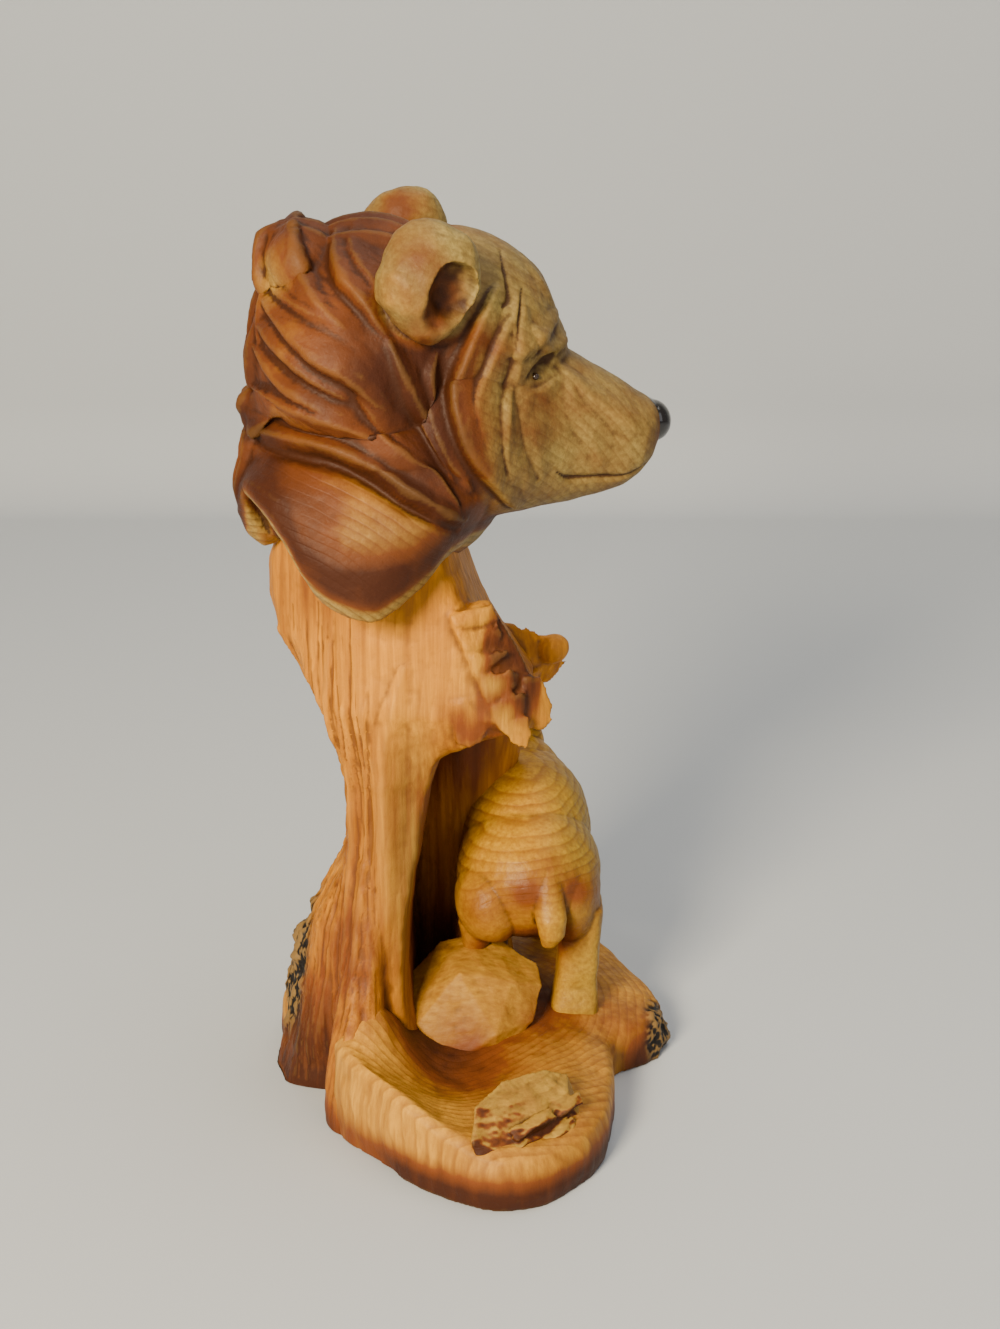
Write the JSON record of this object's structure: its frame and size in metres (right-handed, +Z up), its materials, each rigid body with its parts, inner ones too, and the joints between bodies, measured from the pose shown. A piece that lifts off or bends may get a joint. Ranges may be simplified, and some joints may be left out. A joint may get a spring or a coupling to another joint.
{
  "type": "mother bear and cub statue",
  "caption": "Carved-look resin statue: a mother bear's bust on a hollowed tree trunk, with her cub standing in the hollow on a lobed plinth.",
  "frame": {"origin": "on the flat underside, below the middle of the plinth", "axes": "+X the way the mother faces, +Y the way the cub faces, +Z up"},
  "size_m": [0.1025, 0.1288, 0.2122],
  "materials": {
    "carved_resin": "satin resin cast and stained to look like carved cedar"
  },
  "bodies": {
    "root": {"statue": "carved_resin"}
  },
  "joints": []
}
